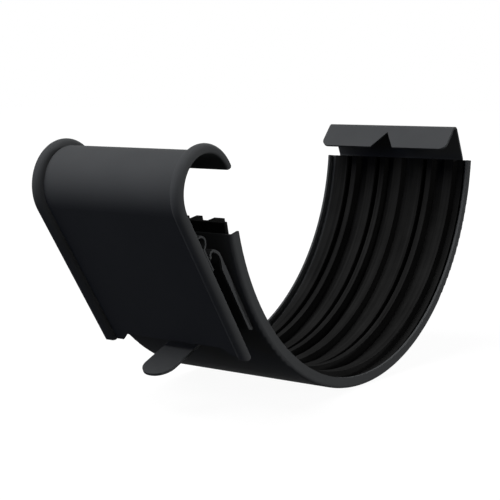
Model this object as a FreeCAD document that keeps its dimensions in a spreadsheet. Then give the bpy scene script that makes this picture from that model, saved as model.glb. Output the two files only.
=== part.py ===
import FreeCAD, Part
import math
import os
import Sketcher
from FreeCAD import Placement, Rotation, Vector

# Gutter union for a half-round steel gutter of 125 mm.
# X runs along the gutter, -Y is the front with the rolled bead, +Z is up, millimetres.
# The origin is on the axis of the half-round, half way along the union.

SIZES = {
    # half-round band with lips turned inward along both sides
    "band_radius": 67.0,
    "band_length": 53.0,
    "band_gauge": 0.7,
    "lip_depth": 3.1,
    "lip_bend": 0.25,
    # degrees by which the band stops short of the level of its axis
    "front_drop": 15.1,
    "back_drop": 4.9,
    # back plate that leans in, and the notched tab folded over the gutter's back edge
    "back_width": 46.5,
    "back_bend": 30.6,
    "back_rise": 9.9,
    "fold_radius": 1.2,
    "fold_turn": 112.6,
    "tab_length": 8.25,
    "tab_corner": 2.6,
    "notch_width": 9.0,
    "notch_depth": 6.3,
    # rubber gasket with blunt ribs and narrower seals
    "gasket_wall": 1.05,
    "gasket_fit": 0.05,
    "gasket_side_gap": 1.5,
    "gasket_overhang": 2.4,
    "rib_height": 2.4,
    "rib_crown": 3.1,
    "rib_slope": 0.4,
    "seal_height": 3.0,
    "seal_crown": 1.8,
    "seal_slope": 0.4,
    # where ribs and seals stand: the outer three from the gasket's edges, the others from its middle
    "rib_1": 4.7,
    "seal_1": 9.4,
    "rib_2": -8.5,
    "seal_2": -4.0,
    "rib_3": 1.5,
    "rib_4": 9.2,
    "seal_3": 13.6,
    "rib_5": 4.0,
    # lock plate: a bead hook over a straight plate with closed half-round rims
    "lock_angle": 33.8,
    "lock_gap": 4.75,
    "lock_gauge": 0.7,
    "bead_radius": 9.3,
    "hook_rise": 33.8,
    "hook_sweep": 182.0,
    "plate_side_gap": 2.2,
    "plate_length": 45.8,
    "rim_radius": 1.75,
    "rim_end": 1.4,
    "recess_width": 32.0,
    "recess_depth": 2.4,
    "recess_flare": 2.4,
    # tension strap: flanged leg on the band, arch and hinge hook above, tongue below
    "strap_side_gap": 2.5,
    "strap_gauge": 0.7,
    "strap_fit": 0.05,
    "strap_foot": 6.4,
    "arch_radius": 3.0,
    "arch_rise": 18.1,
    "arch_lift": 1.8,
    "hinge_wrap": 10.0,
    "flange_depth": 0.85,
    "flange_rise": 14.5,
    "flange_taper": 2.5,
    "flange_foot": 5.3,
    "tongue_width": 9.8,
    "tongue_drop": 13.9,
    "tongue_bend": 1.2,
    "tongue_turn": 102.0,
    "tongue_length": 15.6,
    "tongue_round": 4.7,
    # hinge bracket inside the lock plate: bead nose above, cradle and hem below
    "nose_side_gap": 2.5,
    "cradle_side_gap": 4.6,
    "bracket_gauge": 0.5,
    "nose_radius": 2.1,
    "nose_rise": 25.2,
    "cradle_drop": 3.2,
    "hem_radius": 0.5,
    "hinge_gap": 0.3,
}

PLACES = {
    "band_inside": "sizes.band_radius - sizes.band_gauge",
    "band_sweep": "180 - sizes.front_drop - sizes.back_drop",
    "bend_out": "places.band_inside - sizes.fold_radius",
    "fold_out": "places.bend_out - sizes.back_rise * sin(sizes.back_bend)",
    "fold_up": "sizes.back_rise * cos(sizes.back_bend)",
    "tab_turn": "sizes.back_bend + sizes.fold_turn",
    "gasket_outside": "places.band_inside - sizes.gasket_fit",
    "gasket_floor": "places.gasket_outside - sizes.gasket_wall",
    "gasket_half": "sizes.band_length / 2 - sizes.band_gauge - sizes.gasket_side_gap",
    "plate_width": "sizes.band_length - 2 * sizes.plate_side_gap",
    "strap_width": "sizes.band_length - 2 * sizes.strap_side_gap",
    "nose_width": "sizes.band_length - 2 * sizes.nose_side_gap",
    "cradle_width": "sizes.band_length - 2 * sizes.cradle_side_gap",
    "strap_back": "sizes.band_radius + sizes.strap_fit",
    "strap_front": "places.strap_back + sizes.strap_gauge",
    "plate_inside": "sizes.band_radius + sizes.lock_gap",
    "bracket_inside": "places.plate_inside - sizes.bracket_gauge",
    "hook_small": "sizes.hem_radius + sizes.hinge_gap",
    "hook_big": "places.hook_small + sizes.strap_gauge",
    "arch_out": "places.strap_back + sizes.arch_radius",
    "hinge_out": "places.bracket_inside - sizes.hinge_gap - places.hook_big",
    "hinge_rise": "sizes.arch_rise + sizes.arch_lift",
    "hinge_back": "places.arch_out - places.hinge_out",
    "arch_span": "hypot(places.hinge_back; sizes.arch_lift)",
    "arch_slope": "acos((sizes.arch_radius - places.hook_big) / places.arch_span) / 1 deg",
    "arch_turn": "atan2(sizes.arch_lift; places.hinge_back) / 1 deg - places.arch_slope",
    "hook_out": "places.plate_inside - sizes.bead_radius",
}

doc = FreeCAD.newDocument("gutter_union")


def fill_sheet(name, cells, prefix=""):
    sheet = doc.addObject("Spreadsheet::Sheet", name)
    for row, (alias, value) in enumerate(cells.items(), start=1):
        sheet.set(f"A{row}", alias)
        sheet.set(f"B{row}", f"{prefix}{value}")
        sheet.setAlias(f"B{row}", alias)
    return sheet


sizes = fill_sheet("sizes", SIZES)
places = fill_sheet("places", {alias: text.replace("places.", "") for alias, text in PLACES.items()}, "=")
doc.recompute()


def number(text):
    return float(places.evalExpression(text))


def new_body(label, angle, base_y="0", base_z="0"):
    """A body turned about X by an angle, with its origin at (0, base_y, base_z)."""
    body = doc.addObject("PartDesign::Body", label)
    body.Label = label
    body.Placement = Placement(Vector(0, 0, 0), Rotation(Vector(1, 0, 0), number(angle)))
    body.setExpression("Placement.Base.y", base_y)
    body.setExpression("Placement.Base.z", base_z)
    body.setExpression("Placement.Rotation.Angle", angle)
    return body


def plane(body, role):
    return next(item for item in body.Origin.OriginFeatures if item.Role == role)


def new_sketch(body, name, role):
    sketch = body.newObject("Sketcher::SketchObject", name)
    sketch.AttachmentSupport = [(plane(body, role), "")]
    sketch.MapMode = "FlatFace"
    return sketch


def arc_between(start, end, radius, turn):
    """The arc under half a turn from start to end, to the left (1) or to the right (-1)."""
    chord = end - start
    side = Vector(-chord.y, chord.x, 0).normalize()
    reach = math.sqrt(max(radius**2 - (chord.Length / 2) ** 2, 0))
    centre = (start + end) / 2 + side * reach * turn
    first, last = (start, end) if turn > 0 else (end, start)
    from_angle = math.atan2(first.y - centre.y, first.x - centre.x)
    to_angle = math.atan2(last.y - centre.y, last.x - centre.x)
    return Part.ArcOfCircle(Part.Circle(centre, Vector(0, 0, 1), radius), from_angle, to_angle)


def draw(sketch, *corners):
    """A closed outline. A corner is (x, y), reached by a line, or (x, y, radius, turn), reached by an arc."""
    spots = [Vector(number(corner[0]), number(corner[1]), 0) for corner in corners]
    ends = []
    for index, corner in enumerate(corners):
        start, end = spots[index - 1], spots[index]
        if len(corner) == 2:
            sketch.addGeometry(Part.LineSegment(start, end))
            ends.append((1, 2))
        else:
            sketch.addGeometry(arc_between(start, end, number(corner[2]), corner[3]))
            ends.append((1, 2) if corner[3] > 0 else (2, 1))
    for index, corner in enumerate(corners):
        sketch.addConstraint(Sketcher.Constraint("Coincident", index - 1 if index else len(corners) - 1,
                                                 ends[index - 1][1], index, ends[index][0]))
        spot, tail = spots[index], ends[index][1]
        bind(sketch, Sketcher.Constraint("DistanceX", -1, 1, index, tail, spot.x), corner[0])
        bind(sketch, Sketcher.Constraint("DistanceY", -1, 1, index, tail, spot.y), corner[1])
        if len(corner) > 2:
            bind(sketch, Sketcher.Constraint("Radius", index, number(corner[2])), corner[2])


def bind(sketch, constraint, text):
    index = sketch.addConstraint(constraint)
    sketch.setExpression(f"Constraints[{index}]", text)


def pad(body, name, sketch, length, side="One side", flip=False):
    feature = body.newObject("PartDesign::Pad", name)
    feature.Profile = sketch
    feature.SideType = side
    feature.Reversed = flip
    feature.setExpression("Length", length)
    return feature


def revolve(body, name, sketch, angle):
    """A turn about the sketch's own X axis, from the sketch towards the far side."""
    feature = body.newObject("PartDesign::Revolution", name)
    feature.Profile = sketch
    feature.ReferenceAxis = (sketch, ["H_Axis"])
    feature.Reversed = True
    feature.setExpression("Angle", angle)
    return feature


def pocket(body, name, sketch, length=None, flip=False):
    """A cut to a length, or through everything on both sides."""
    doc.recompute()
    before = body.Shape.Volume
    feature = body.newObject("PartDesign::Pocket", name)
    feature.Profile = sketch
    feature.Reversed = flip
    if length is None:
        feature.SideType = "Symmetric"
        feature.Type = "ThroughAll"
    else:
        feature.setExpression("Length", length)
    doc.recompute()
    if body.Shape.Volume >= before:
        raise RuntimeError(f"{name} cut nothing")
    return feature


def round_edges(body, name, spots, radius):
    """A fillet on the edges whose middles lie at the given places in the body's own frame."""
    doc.recompute()
    base = body.Tip
    near = 1e-3
    picked = []
    for index, edge in enumerate(base.Shape.Edges, start=1):
        middle = edge.valueAt((edge.FirstParameter + edge.LastParameter) / 2)
        if any(middle.distanceToPoint(spot) < near for spot in spots):
            picked.append(f"Edge{index}")
    if len(picked) != len(spots):
        raise RuntimeError(f"{name} found {len(picked)} of {len(spots)} edges")
    feature = body.newObject("PartDesign::Fillet", name)
    feature.Base = (base, picked)
    feature.setExpression("Radius", radius)
    return feature


def make_band():
    """Half-round channel, then the back plate with its open fold, notch and round corners."""
    body = new_body("band", "-sizes.back_drop")
    section = new_sketch(body, "band_section", "XY_Plane")
    side = "sizes.band_length / 2"
    small, big = "sizes.lip_bend", "(sizes.lip_bend + sizes.band_gauge)"
    turn = f"({side} - {big})"
    skin = f"({side} - sizes.band_gauge)"
    out = "sizes.band_radius"
    knee = f"sizes.band_radius - {big}"
    edge = "sizes.band_radius - sizes.lip_depth"
    draw(section,
         (f"-{turn}", out, big, -1),
         (turn, out),
         (side, knee, big, -1),
         (side, edge),
         (skin, edge),
         (skin, knee),
         (turn, "places.band_inside", small, 1),
         (f"-{turn}", "places.band_inside"),
         (f"-{skin}", knee, small, 1),
         (f"-{skin}", edge),
         (f"-({side})", edge),
         (f"-({side})", knee))
    revolve(body, "half_round", section, "places.band_sweep")

    fold = new_sketch(body, "back_section", "YZ_Plane")
    near, far = "sizes.fold_radius", "(sizes.fold_radius + sizes.band_gauge)"
    lean, tab = "sizes.back_bend", "places.tab_turn"

    def at(centre_y, centre_z, radius, angle, along="0"):
        return (f"{centre_y} + {radius} * cos({angle}) - {along} * sin({angle})",
                f"{centre_z} + {radius} * sin({angle}) + {along} * cos({angle})")

    def on_bend(radius, angle):
        return at("places.bend_out", "0", radius, angle)

    def on_fold(radius, angle, along="0"):
        return at("places.fold_out", "places.fold_up", radius, angle, along)

    draw(fold,
         on_bend(far, "0"),
         (*on_bend(far, lean), far, 1),
         on_fold(far, lean),
         (*on_fold(far, tab), far, 1),
         on_fold(far, tab, "sizes.tab_length"),
         on_fold(near, tab, "sizes.tab_length"),
         on_fold(near, tab),
         (*on_fold(near, lean), near, -1),
         on_bend(near, lean),
         (*on_bend(near, "0"), near, -1))
    pad(body, "back_fold", fold, "sizes.back_width", "Symmetric")

    notch = new_sketch(body, "notch_outline", "XZ_Plane")
    foot = on_fold(far, tab, "(sizes.tab_length + sizes.band_gauge)")[1]
    peak = on_fold(far, tab, "(sizes.tab_length - sizes.notch_depth)")[1]
    draw(notch,
         ("-sizes.notch_width / 2", foot),
         ("sizes.notch_width / 2", foot),
         ("0", peak))
    pocket(body, "tab_notch", notch, "places.fold_out")

    middle = on_fold("(sizes.fold_radius + sizes.band_gauge / 2)", tab, "sizes.tab_length")
    corners = [Vector(sign * number("sizes.back_width / 2"), *map(number, middle)) for sign in (-1, 1)]
    round_edges(body, "tab_corners", corners, "sizes.tab_corner")
    return body


def make_gasket():
    """Rubber strip between the lips of the band, with its ribs and seals from left to right."""
    body = new_body("gasket", "-sizes.back_drop")
    section = new_sketch(body, "gasket_section", "XY_Plane")
    floor = "places.gasket_floor"
    half_side = "places.gasket_half"
    middles = [("rib", f"sizes.rib_1 - {half_side}"),
               ("seal", f"sizes.seal_1 - {half_side}"),
               ("rib", "sizes.rib_2"),
               ("seal", "sizes.seal_2"),
               ("rib", "sizes.rib_3"),
               ("rib", "sizes.rib_4"),
               ("seal", "sizes.seal_3"),
               ("rib", f"{half_side} - sizes.rib_5")]
    ridges = []
    for kind, middle in middles:
        half, slope = f"sizes.{kind}_crown / 2", f"sizes.{kind}_slope"
        top = f"{floor} - sizes.{kind}_height"
        ridges += [(f"{middle} - {half} - {slope}", floor),
                   (f"{middle} - {half}", top),
                   (f"{middle} + {half}", top),
                   (f"{middle} + {half} + {slope}", floor)]
    draw(section,
         (f"-{half_side}", floor),
         *ridges,
         (half_side, floor),
         (half_side, "places.gasket_outside - sizes.lip_bend"),
         (f"{half_side} - sizes.lip_bend", "places.gasket_outside"),
         (f"-({half_side} - sizes.lip_bend)", "places.gasket_outside"),
         (f"-{half_side}", "places.gasket_outside - sizes.lip_bend"))
    revolve(body, "gasket_strip", section, "places.band_sweep + sizes.gasket_overhang")
    return body


def make_lock_plate():
    """One section with two closed rims, turned into the bead hook and run down as the plate."""
    body = new_body("lock_plate", "sizes.lock_angle",
                    "-places.hook_out * cos(sizes.lock_angle) - sizes.hook_rise * sin(sizes.lock_angle)",
                    "-places.hook_out * sin(sizes.lock_angle) + sizes.hook_rise * cos(sizes.lock_angle)")
    section = new_sketch(body, "lock_section", "XY_Plane")
    inner = "-sizes.bead_radius"
    outer = "-sizes.bead_radius - sizes.lock_gauge"
    rim, edge = "sizes.rim_radius", "sizes.lock_gauge"
    end = "places.plate_width / 2"
    middle = f"({end} - sizes.rim_radius)"
    draw(section,
         (f"-({end} - {edge})", inner, edge, -1),
         (f"{end} - {edge}", inner),
         (end, outer, edge, -1),
         (middle, f"{outer} - {rim}", rim, -1),
         (f"{middle} - {rim}", outer, rim, -1),
         (f"-({middle} - {rim})", outer),
         (f"-{middle}", f"{outer} - {rim}", rim, -1),
         (f"-({end})", outer, rim, -1))
    pad(body, "plate", section, "sizes.plate_length", flip=True)
    revolve(body, "bead_hook", section, "sizes.hook_sweep")

    recess = new_sketch(body, "recess_outline", "XZ_Plane")
    half = "sizes.recess_width / 2"
    draw(recess,
         (f"-({half} + sizes.recess_flare)", "-sizes.plate_length"),
         (f"{half} + sizes.recess_flare", "-sizes.plate_length"),
         (half, "-sizes.plate_length + sizes.recess_depth"),
         (f"-({half})", "-sizes.plate_length + sizes.recess_depth"))
    pocket(body, "foot_recess", recess)

    reach = "(sizes.bead_radius + sizes.lock_gauge + sizes.rim_radius)"
    cut, clear = "sizes.rim_end", "sizes.rim_radius"
    trim = [(reach, f"-{cut}"),
            (f"({reach} - {cut})", "0"),
            (f"({reach} - {cut})", clear),
            (f"({reach} + {clear})", clear),
            (f"({reach} + {clear})", f"-{cut}")]
    sweep = "sizes.hook_sweep"
    foot = [(f"-{out}", f"-sizes.plate_length - ({past})") for out, past in trim]
    tip = [(f"-{out} * cos({sweep}) + ({past}) * sin({sweep})",
            f"{out} * sin({sweep}) + ({past}) * cos({sweep})") for out, past in trim]
    for name, corners, turn in (("foot", foot, 1), ("tip", tip, -1)):
        outline = new_sketch(body, f"rim_{name}_outline", "YZ_Plane")
        draw(outline, corners[0], (*corners[1], cut, turn), *corners[2:])
        pocket(body, f"rim_{name}", outline)
    return body


def make_tension_strap():
    """Sheet strap on the band: arch and hinge hook, flanged leg and the tongue that secures the lock."""
    body = new_body("tension_strap", "sizes.lock_angle")
    leg = new_sketch(body, "strap_section", "YZ_Plane")
    gauge, arch = "sizes.strap_gauge", "places.arch_turn"
    wrap = "180 + sizes.hinge_wrap"

    def on_arch(radius, angle):
        return (f"-places.arch_out + {radius} * cos({angle})",
                f"sizes.arch_rise + {radius} * sin({angle})")

    def on_hook(radius, angle):
        return (f"-places.hinge_out + {radius} * cos({angle})",
                f"places.hinge_rise + {radius} * sin({angle})")

    wide, slim = "sizes.arch_radius", f"(sizes.arch_radius - {gauge})"
    big, small = "places.hook_big", "places.hook_small"
    draw(leg,
         ("-places.strap_back", "-sizes.strap_foot"),
         on_arch(wide, "0"),
         (*on_arch(wide, arch), wide, 1),
         on_hook(big, arch),
         (*on_hook(big, "90"), big, 1),
         (*on_hook(big, wrap), big, 1),
         on_hook(small, wrap),
         (*on_hook(small, "90"), small, -1),
         (*on_hook(small, arch), small, -1),
         on_arch(slim, arch),
         (*on_arch(slim, "0"), slim, -1),
         ("-places.strap_front", "-sizes.strap_foot"))
    pad(body, "leg_and_hook", leg, "places.strap_width", "Symmetric")

    flange = new_sketch(body, "flange_outline", "YZ_Plane")
    flange.setExpression("AttachmentOffset.Base.z", "places.strap_width / 2 - sizes.strap_gauge")
    rim = "-places.strap_front - sizes.flange_depth"
    draw(flange,
         ("-places.strap_back", "-sizes.strap_foot"),
         ("-places.strap_back", "sizes.flange_rise + sizes.flange_taper"),
         ("-places.strap_front", "sizes.flange_rise + sizes.flange_taper"),
         (rim, "sizes.flange_rise"),
         (rim, "-sizes.flange_foot"),
         ("-places.strap_front", "-sizes.strap_foot"))
    right_flange = pad(body, "right_flange", flange, "sizes.strap_gauge")
    doc.recompute()
    both = body.newObject("PartDesign::Mirrored", "left_flange")
    both.Originals = [right_flange]
    both.MirrorPlane = (plane(body, "YZ_Plane"), [""])
    body.Tip = both

    tongue = new_sketch(body, "tongue_section", "YZ_Plane")
    near, far = "sizes.tongue_bend", "(sizes.tongue_bend + sizes.strap_gauge)"
    turn = "sizes.tongue_turn"

    def on_bend(radius, angle, along="0"):
        return (f"-places.strap_front - sizes.tongue_bend + {radius} * cos({angle}) - {along} * sin({angle})",
                f"{far} - sizes.tongue_drop - {radius} * sin({angle}) - {along} * cos({angle})")

    draw(tongue,
         ("-places.strap_front", "-sizes.strap_foot"),
         on_bend(near, "0"),
         (*on_bend(near, turn), near, -1),
         on_bend(near, turn, "sizes.tongue_length"),
         on_bend(far, turn, "sizes.tongue_length"),
         on_bend(far, turn),
         (*on_bend(far, "0"), far, 1),
         ("-places.strap_back", "-sizes.strap_foot"))
    pad(body, "tongue", tongue, "sizes.tongue_width", "Symmetric")
    tip = on_bend("(sizes.tongue_bend + sizes.strap_gauge / 2)", turn, "sizes.tongue_length")
    corners = [Vector(sign * number("sizes.tongue_width / 2"), *map(number, tip)) for sign in (-1, 1)]
    most = 0.48  # share of the tongue's width that each of its two rounds can take
    round_edges(body, "tongue_tip", corners, f"min(sizes.tongue_round; sizes.tongue_width * {most})")
    return body


def make_hinge_bracket():
    """Sheet inside the lock plate: nose under the bead, flat, and a cradle hemmed for the strap's hook."""
    body = new_body("hinge_bracket", "sizes.lock_angle")
    gauge, nose = "sizes.bracket_gauge", "sizes.nose_rise"
    face, flat = "places.plate_inside", "places.bracket_inside"
    big_nose, small_nose = "sizes.nose_radius", f"(sizes.nose_radius - {gauge})"
    cradle = "places.hinge_rise - sizes.cradle_drop"
    upper = new_sketch(body, "nose_section", "YZ_Plane")
    draw(upper,
         (f"-{face}", cradle),
         (f"-{face}", f"{nose} - {small_nose}"),
         (f"-({face} - {small_nose})", nose, small_nose, 1),
         (f"-{face}", f"{nose} + {small_nose}", small_nose, 1),
         (f"-{face}", f"{nose} + {big_nose}"),
         (f"-({face} - {big_nose})", nose, big_nose, -1),
         (f"-{flat}", f"{nose} - sqrt({big_nose} ^ 2 - {gauge} ^ 2)", big_nose, -1),
         (f"-{flat}", cradle))
    pad(body, "nose_and_flat", upper, "places.nose_width", "Symmetric")

    lower = new_sketch(body, "cradle_section", "YZ_Plane")
    hem = "sizes.hem_radius"
    hem_neck = f"places.hinge_rise - sqrt({hem} ^ 2 - ({gauge} / 2) ^ 2)"
    post_out, post_in = f"(places.hinge_out + {gauge} / 2)", f"(places.hinge_out - {gauge} / 2)"
    small_turn = f"({flat} - {post_out}) / 2"
    big_turn = f"({small_turn} + {gauge})"
    middle = f"({face} + {post_in}) / 2"
    draw(lower,
         (f"-{face}", cradle, big_turn, -1),
         (f"-{face}", "places.hinge_rise"),
         (f"-{flat}", "places.hinge_rise"),
         (f"-{flat}", cradle),
         (f"-{middle}", f"{cradle} - {small_turn}", small_turn, 1),
         (f"-{post_out}", cradle, small_turn, 1),
         (f"-{post_out}", hem_neck),
         (f"-(places.hinge_out + {hem})", "places.hinge_rise", hem, -1),
         ("-places.hinge_out", f"places.hinge_rise + {hem}", hem, -1),
         (f"-(places.hinge_out - {hem})", "places.hinge_rise", hem, -1),
         (f"-{post_in}", hem_neck, hem, -1),
         (f"-{post_in}", cradle),
         (f"-{middle}", f"{cradle} - {big_turn}", big_turn, -1))
    pad(body, "cradle_and_hem", lower, "places.cradle_width", "Symmetric")
    return body


bodies = [make_band(), make_gasket(), make_lock_plate(), make_tension_strap(), make_hinge_bracket()]
doc.recompute()

for item in doc.Objects:
    if "Invalid" in item.State or "Error" in item.State:
        raise RuntimeError(f"{item.Label} failed: {item.State}")
for body in bodies:
    if body.Shape.isNull() or not body.Shape.isValid() or len(body.Shape.Solids) != 1:
        raise RuntimeError(f"{body.Label} is not one sound solid")

os.makedirs("parts", exist_ok=True)
for body in bodies:
    body.Shape.exportStep(os.path.join("parts", body.Label + ".step"))
    box = body.Shape.BoundBox
    print(body.Label, f"volume {body.Shape.Volume:.1f}", f"box {box.XMin:.2f} {box.YMin:.2f} {box.ZMin:.2f}",
          f"to {box.XMax:.2f} {box.YMax:.2f} {box.ZMax:.2f}")
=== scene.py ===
import math

import bpy
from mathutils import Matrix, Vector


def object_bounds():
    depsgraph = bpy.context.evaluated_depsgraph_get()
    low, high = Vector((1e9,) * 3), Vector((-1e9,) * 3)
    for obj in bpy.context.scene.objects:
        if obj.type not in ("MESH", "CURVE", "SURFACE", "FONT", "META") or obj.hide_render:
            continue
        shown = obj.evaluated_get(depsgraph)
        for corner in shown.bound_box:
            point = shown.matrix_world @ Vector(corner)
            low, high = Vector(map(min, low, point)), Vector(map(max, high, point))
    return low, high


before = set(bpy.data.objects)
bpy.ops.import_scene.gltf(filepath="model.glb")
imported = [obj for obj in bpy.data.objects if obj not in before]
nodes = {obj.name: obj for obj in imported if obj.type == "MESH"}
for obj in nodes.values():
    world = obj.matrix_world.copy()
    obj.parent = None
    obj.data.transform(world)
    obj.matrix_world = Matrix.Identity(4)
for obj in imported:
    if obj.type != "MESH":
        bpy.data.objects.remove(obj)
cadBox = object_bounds()
scene = bpy.context.scene
scene.view_settings.view_transform = "Standard"
print("frame loaded:", ", ".join(sorted(nodes)))

mmPerMetre = 1000


def linearColour(hexText):  # sRGB hex to the linear values that a shader takes
    shares = [int(hexText[i:i + 2], 16) / 255 for i in (1, 3, 5)]
    return [s / 12.92 if s <= 0.04045 else ((s + 0.055) / 1.055) ** 2.4 for s in shares] + [1.0]


def patternScale(millimetres):  # texture scale at which one feature is this wide
    return mmPerMetre / millimetres


def addNode(tree, kind, settings=None, inputs=None):  # sockets are linked, other values are set
    node = tree.nodes.new(kind)
    for name, value in (settings or {}).items():
        setattr(node, name, value)
    for name, value in (inputs or {}).items():
        if isinstance(value, bpy.types.NodeSocket):
            tree.links.new(value, node.inputs[name])
        else:
            node.inputs[name].default_value = value
    return node


def newMaterial(name):
    material = bpy.data.materials.new(name)
    material.use_nodes = True
    material.node_tree.nodes.clear()
    return material, material.node_tree


def finishSkin(tree, look, colour, pattern):  # the fine pattern roughens the skin and raises it
    smoothest, roughest = look["roughness"]
    rough = addNode(tree, "ShaderNodeMapRange", None,
                    {"Value": pattern, "To Min": smoothest, "To Max": roughest})
    relief = addNode(tree, "ShaderNodeBump", None,
                     {"Height": pattern, "Distance": look["reliefMm"] / mmPerMetre,
                      "Strength": look["reliefShare"]})
    shader = addNode(tree, "ShaderNodeBsdfPrincipled", None,
                     {"Base Color": colour, "Roughness": rough.outputs["Result"],
                      "Normal": relief.outputs["Normal"],
                      "Specular IOR Level": look["specular"], "IOR": look["ior"]})
    addNode(tree, "ShaderNodeOutputMaterial", None, {"Surface": shader.outputs["BSDF"]})


def dress(material, *names):  # a CAD node keeps its mesh and takes the material in its slots
    for name in names:
        for slot in nodes[name].material_slots:
            slot.material = material


# Coil-coated sheet steel: polyester paint rolled on before the sheet was folded.
# It gives a dark grey, dull all over, with a fine dry grain, a faint cloudiness and no sparkle.
paintLook = {
    "light": "#393a3b",
    "dark": "#333435",
    "cloudMm": 14.0,
    "cloudDetail": 3.0,
    "grainMm": 0.9,  # the real grain is near 0.2 mm: drawn coarser so that it shows
    "grainDetail": 2.0,
    "reliefMm": 0.02,
    "reliefShare": 0.35,
    "roughness": (0.46, 0.58),
    "ior": 1.5,
    "specular": 0.001,  # next to none, since a gloss of the white studio turns the dark paint grey
}


def makePaint(look):
    material, tree = newMaterial("coilCoatedSteel")
    place = addNode(tree, "ShaderNodeTexCoord").outputs["Object"]
    cloud = addNode(tree, "ShaderNodeTexNoise", None,
                    {"Vector": place, "Scale": patternScale(look["cloudMm"]),
                     "Detail": look["cloudDetail"]})
    grain = addNode(tree, "ShaderNodeTexNoise", None,
                    {"Vector": place, "Scale": patternScale(look["grainMm"]),
                     "Detail": look["grainDetail"]})
    colour = addNode(tree, "ShaderNodeMix", {"data_type": "RGBA"},  # 6 and 7 are its two colours
                     {0: cloud.outputs["Fac"],
                      6: linearColour(look["dark"]), 7: linearColour(look["light"])})
    finishSkin(tree, look, colour.outputs[2], grain.outputs["Fac"])
    return material


# EPDM rubber, extruded through a die: soft black with fine drag lines along its length
# and a thin grey bloom that gathers in patches.
rubberLook = {
    "black": "#0c0c0c",
    "bloom": "#1a1a1a",
    "bloomMm": 11.0,
    "bloomDetail": 4.0,
    "bloomReach": (0.3, 0.7),  # pattern levels at which the rubber is all black and all bloom
    "lineMm": 0.6,
    "lineRunMm": 70.0,
    "lineDetail": 2.0,
    "lineShare": 0.6,  # how much of the grey lies in the drag lines, the rest in the patches
    "reliefMm": 0.03,
    "reliefShare": 0.5,
    "roughness": (0.55, 0.75),
    "ior": 1.5,
    "specular": 0.001,  # next to none, as on the paint
}


def makeRubber(look):
    material, tree = newMaterial("extrudedEpdmRubber")
    place = addNode(tree, "ShaderNodeTexCoord").outputs["Object"]
    across, along = patternScale(look["lineMm"]), patternScale(look["lineRunMm"])
    stretched = addNode(tree, "ShaderNodeMapping", None,
                        {"Vector": place, "Scale": (across, along, along)})
    lines = addNode(tree, "ShaderNodeTexNoise", None,
                    {"Vector": stretched.outputs["Vector"], "Scale": 1.0,
                     "Detail": look["lineDetail"]})
    patches = addNode(tree, "ShaderNodeTexNoise", None,
                      {"Vector": place, "Scale": patternScale(look["bloomMm"]),
                       "Detail": look["bloomDetail"]})
    streaks = addNode(tree, "ShaderNodeMix", {"data_type": "FLOAT"},  # 2 and 3 are its two values
                      {0: look["lineShare"], 2: patches.outputs["Fac"], 3: lines.outputs["Fac"]})
    allBlack, allBloom = look["bloomReach"]
    spread = addNode(tree, "ShaderNodeMapRange", None,
                     {"Value": streaks.outputs[0], "From Min": allBlack, "From Max": allBloom})
    colour = addNode(tree, "ShaderNodeMix", {"data_type": "RGBA"},
                     {0: spread.outputs["Result"],
                      6: linearColour(look["black"]), 7: linearColour(look["bloom"])})
    finishSkin(tree, look, colour.outputs[2], lines.outputs["Fac"])
    return material


paint = makePaint(paintLook)
rubber = makeRubber(rubberLook)
dress(paint, "band", "lock_plate", "hinge_bracket", "tension_strap")
dress(rubber, "gasket")
print("materials on: paint and rubber")


def directRays(tree):  # 1 for what the eye sees, straight, in gloss or through glass
    rays = addNode(tree, "ShaderNodeLightPath").outputs
    seen = addNode(tree, "ShaderNodeMath", {"operation": "ADD"},
                   {0: rays["Is Camera Ray"], 1: rays["Is Glossy Ray"]})
    return addNode(tree, "ShaderNodeMath", {"operation": "ADD", "use_clamp": True},
                   {0: seen.outputs[0], 1: rays["Is Transmission Ray"]}).outputs[0]


# pale floor under the band, white to the eye and dull to the light that it sends back up
floorLook = {
    "sizeM": 6.0,
    "grey": "#404040",
    "glow": "#ffffff",
    "nearM": 0.25,
    "nearWhite": 0.95,  # a little under white near the object, where the lamps add the rest
    "farM": 1.2,
    "farWhite": 1.0,
}


def makeFloor(look):
    material, tree = newMaterial("paleStudioFloor")
    matt = addNode(tree, "ShaderNodeBsdfDiffuse", None, {"Color": linearColour(look["grey"])})
    place = addNode(tree, "ShaderNodeTexCoord").outputs["Object"]
    away = addNode(tree, "ShaderNodeVectorMath", {"operation": "LENGTH"}, {0: place})
    fade = addNode(tree, "ShaderNodeMapRange", None,
                   {"Value": away.outputs["Value"],
                    "From Min": look["nearM"], "From Max": look["farM"],
                    "To Min": look["nearWhite"], "To Max": look["farWhite"]})
    lift = addNode(tree, "ShaderNodeMath", {"operation": "MULTIPLY"},
                   {0: directRays(tree), 1: fade.outputs["Result"]})
    glow = addNode(tree, "ShaderNodeEmission", None,
                   {"Color": linearColour(look["glow"]), "Strength": lift.outputs[0]})
    both = addNode(tree, "ShaderNodeAddShader", None, {0: matt.outputs[0], 1: glow.outputs[0]})
    below = addNode(tree, "ShaderNodeNewGeometry").outputs["Backfacing"]
    clear = addNode(tree, "ShaderNodeBsdfTransparent").outputs[0]  # for views from below
    oneSided = addNode(tree, "ShaderNodeMixShader", None, {0: below, 1: both.outputs[0], 2: clear})
    addNode(tree, "ShaderNodeOutputMaterial", None, {"Surface": oneSided.outputs[0]})
    return material


bpy.ops.object.select_all(action="DESELECT")
bpy.ops.mesh.primitive_plane_add(size=floorLook["sizeM"], location=(0, 0, cadBox[0][2]))
floor = bpy.context.object
floor.name = "floor"
floor.data.materials.append(makeFloor(floorLook))

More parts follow.
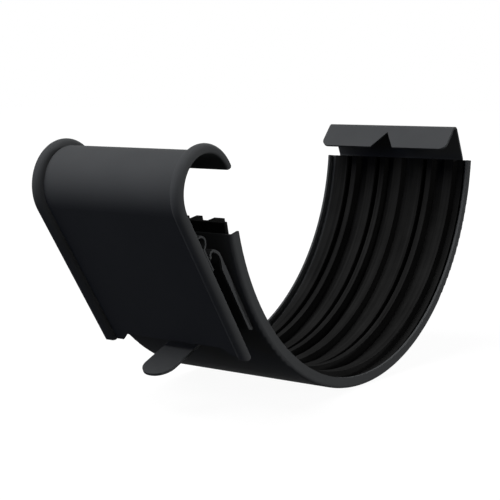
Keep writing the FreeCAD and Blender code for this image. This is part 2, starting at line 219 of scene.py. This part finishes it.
# soft studio light: a broad main lamp above on the left, a small one near the right end, which
# reaches the rubber under the tab, one far off behind that end, which draws the bright edges of
# the rims and the lip, a weak cool one in front, and one at the back for the sides that the
# photograph's viewpoint doesn't see
lampLook = {
    "above": {"at": (-0.36, -0.47, 0.88), "size": 1.0, "watts": 25.5, "tint": "#ffffff"},
    "right": {"at": (0.30, -0.12, 0.05), "size": 0.1, "watts": 0.3, "tint": "#ffffff"},
    "rightBack": {"at": (2.5, 1.4, 0.25), "size": 0.4, "watts": 50.0, "tint": "#ffffff"},
    "front": {"at": (-0.15, -0.95, 0.12), "size": 0.5, "watts": 0.8, "tint": "#a0b6ff"},
    "back": {"at": (-0.35, 1.0, 0.45), "size": 0.6, "watts": 9.0, "tint": "#ffffff"},
}
for name, look in lampLook.items():
    lamp = bpy.data.lights.new(name + "Lamp", "AREA")
    lamp.shape = "DISK"
    lamp.size = look["size"]
    lamp.energy = look["watts"]
    lamp.color = linearColour(look["tint"])[:3]
    holder = bpy.data.objects.new(name + "Lamp", lamp)
    scene.collection.objects.link(holder)
    holder.location = look["at"]
    holder.rotation_euler = (-holder.location).to_track_quat("-Z", "Y").to_euler()

# the room: white to the eye, and only a weak light on the object
worldLook = {"colour": "#ffffff", "lit": 0.07, "seen": 1.0}
world = bpy.data.worlds.new("studio")
scene.world = world
world.use_nodes = True
worldTree = world.node_tree
worldTree.nodes.clear()
lit, seen = [addNode(worldTree, "ShaderNodeBackground", None,
                     {"Color": linearColour(worldLook["colour"]), "Strength": worldLook[level]})
             for level in ("lit", "seen")]
pick = addNode(worldTree, "ShaderNodeMixShader", None,
               {0: directRays(worldTree), 1: lit.outputs[0], 2: seen.outputs[0]})
addNode(worldTree, "ShaderNodeOutputWorld", None, {"Surface": pick.outputs[0]})
print("floor, lamps and world set")

# the photograph's viewpoint, fitted to the band's arcs and the hook
cameraLook = {
    "at": (0.21133, -0.31533, 0.01962),
    "tiltDeg": 82.563,
    "turnDeg": 35.585,
    "lensMm": 92.83,
    "sensorMm": 36,
    "nearestM": 0.01,
}
camera = bpy.data.objects.new("camera", bpy.data.cameras.new("camera"))
scene.collection.objects.link(camera)
camera.location = cameraLook["at"]
camera.rotation_euler = (math.radians(cameraLook["tiltDeg"]), 0, math.radians(cameraLook["turnDeg"]))
camera.data.lens = cameraLook["lensMm"]
camera.data.sensor_width = cameraLook["sensorMm"]
camera.data.clip_start = cameraLook["nearestM"]
scene.camera = camera
print("camera set")
